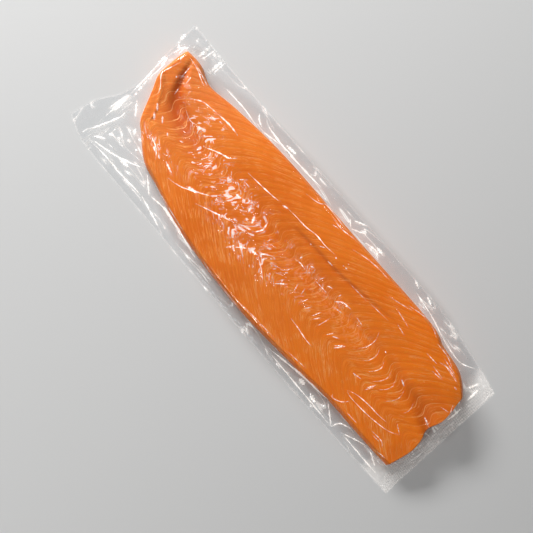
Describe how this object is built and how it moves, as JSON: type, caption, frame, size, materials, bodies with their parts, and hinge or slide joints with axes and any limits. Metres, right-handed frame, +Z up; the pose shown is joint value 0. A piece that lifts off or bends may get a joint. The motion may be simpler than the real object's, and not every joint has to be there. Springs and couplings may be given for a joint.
{
  "type": "vacuum-packed raw salmon fillet",
  "caption": "Long skinless side of raw salmon, thick along its back and folded at its narrow end, sealed in a clear flat vacuum bag with a creased film margin.",
  "frame": {"origin": "middle of the bag's box, on the flat underside that it lies on", "axes": "+Z up out of the flat underside, +X along the bag towards the fillet's broad cut end, +Y towards the fillet's thick back edge"},
  "size_m": [0.493, 0.1712, 0.0296],
  "materials": {
    "salmon_flesh": "moist raw flesh with pale seams between its flakes, seen through clinging film",
    "clear_film": "thin clear film, creased and glossy, milky at its sealed ends"
  },
  "bodies": {
    "root": {"packed_fillet": "salmon_flesh"}
  },
  "joints": []
}
